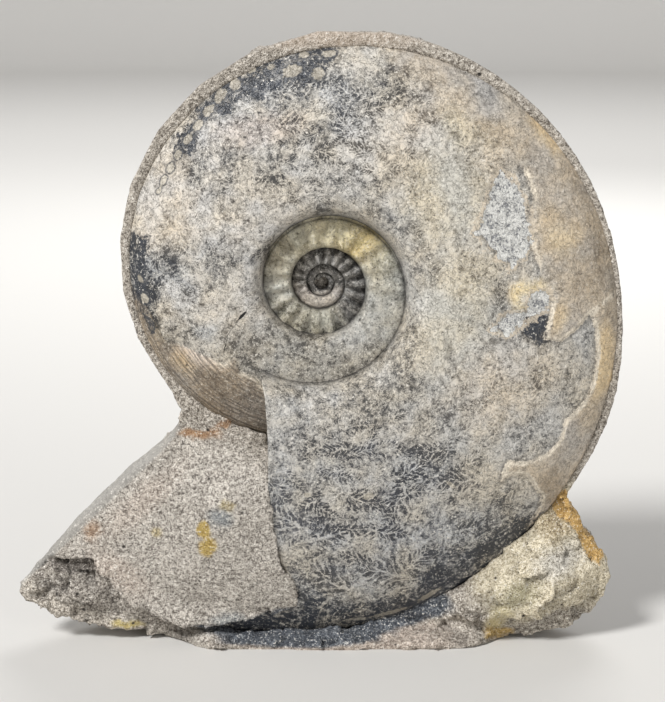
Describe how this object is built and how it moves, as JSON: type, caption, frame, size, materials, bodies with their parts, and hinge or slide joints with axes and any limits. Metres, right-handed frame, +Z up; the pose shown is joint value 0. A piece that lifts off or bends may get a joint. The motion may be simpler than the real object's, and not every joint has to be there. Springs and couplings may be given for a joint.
{
  "type": "ammonite fossil in matrix",
  "caption": "Smooth coiled Amaltheus ammonite freed on one side from its sandy rock slab, which stands on a small flat foot.",
  "frame": {"origin": "middle of the bounding box's underside, on the surface that the slab stands on", "axes": "+Z up; -Y towards the viewer, the side that shows the shell; +X to the viewer's right"},
  "size_m": [0.2448, 0.0628, 0.2467],
  "materials": {
    "ammonite": "smooth satin internal mould with thin patches of brown shell",
    "matrix": "rough granular sandy limestone, dull"
  },
  "bodies": {
    "root": {"ammonite": "ammonite", "matrix": "matrix"}
  },
  "joints": []
}
